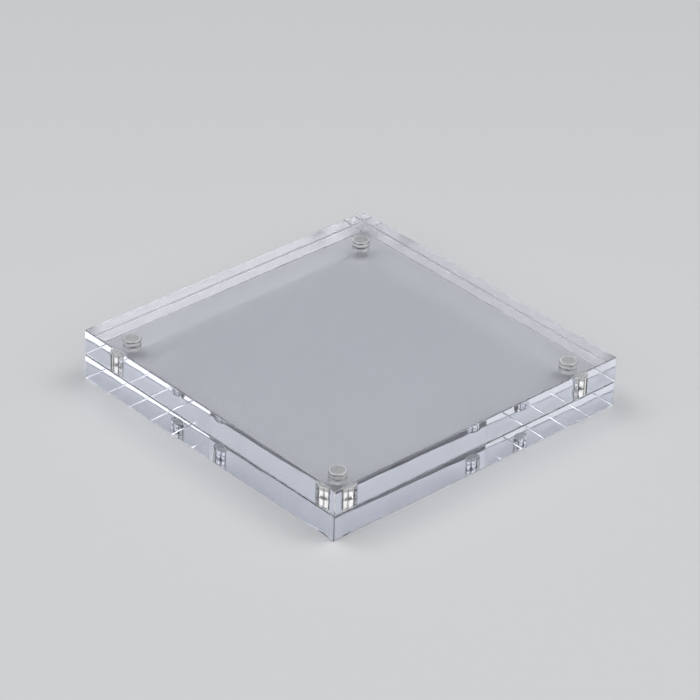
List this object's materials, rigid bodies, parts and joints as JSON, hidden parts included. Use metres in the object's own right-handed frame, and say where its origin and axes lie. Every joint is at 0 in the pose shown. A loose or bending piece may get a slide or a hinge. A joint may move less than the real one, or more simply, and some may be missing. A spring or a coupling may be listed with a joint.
{
  "type": "acrylic photo frame",
  "caption": "Square block photo frame of clear acrylic panels held face to face by magnets in their corners; a print is clamped in the seam and the front panel lifts off.",
  "frame": {"origin": "centre of the rear panel's outer face, the face the frame lies on", "axes": "+Z out of the viewing face, up as the frame lies on its back; +Y towards the top edge of the frame; +X to the right seen from the front"},
  "size_m": [0.127, 0.127, 0.0194],
  "materials": {
    "clear_acrylic": "clear cast acrylic with polished edges",
    "nickel_plate": "bright nickel plating, tumbled edges",
    "cured_adhesive": "milky cured adhesive film"
  },
  "bodies": {
    "rear": {"rear_panel": "clear_acrylic", "rear_magnet_top_left": "nickel_plate", "rear_magnet_top_right": "nickel_plate", "rear_magnet_bottom_left": "nickel_plate", "rear_magnet_bottom_right": "nickel_plate", "rear_adhesive_top_left": "cured_adhesive", "rear_adhesive_top_right": "cured_adhesive", "rear_adhesive_bottom_left": "cured_adhesive", "rear_adhesive_bottom_right": "cured_adhesive"},
    "front": {"front_panel": "clear_acrylic", "front_magnet_top_left": "nickel_plate", "front_magnet_top_right": "nickel_plate", "front_magnet_bottom_left": "nickel_plate", "front_magnet_bottom_right": "nickel_plate", "front_adhesive_top_left": "cured_adhesive", "front_adhesive_top_right": "cured_adhesive", "front_adhesive_bottom_left": "cured_adhesive", "front_adhesive_bottom_right": "cured_adhesive"}
  },
  "joints": [
    {"name": "front_panel_lift", "type": "slide", "parent": "rear", "child": "front", "axis": [0, 0, 1], "range_m": [0, 0.05]}
  ]
}
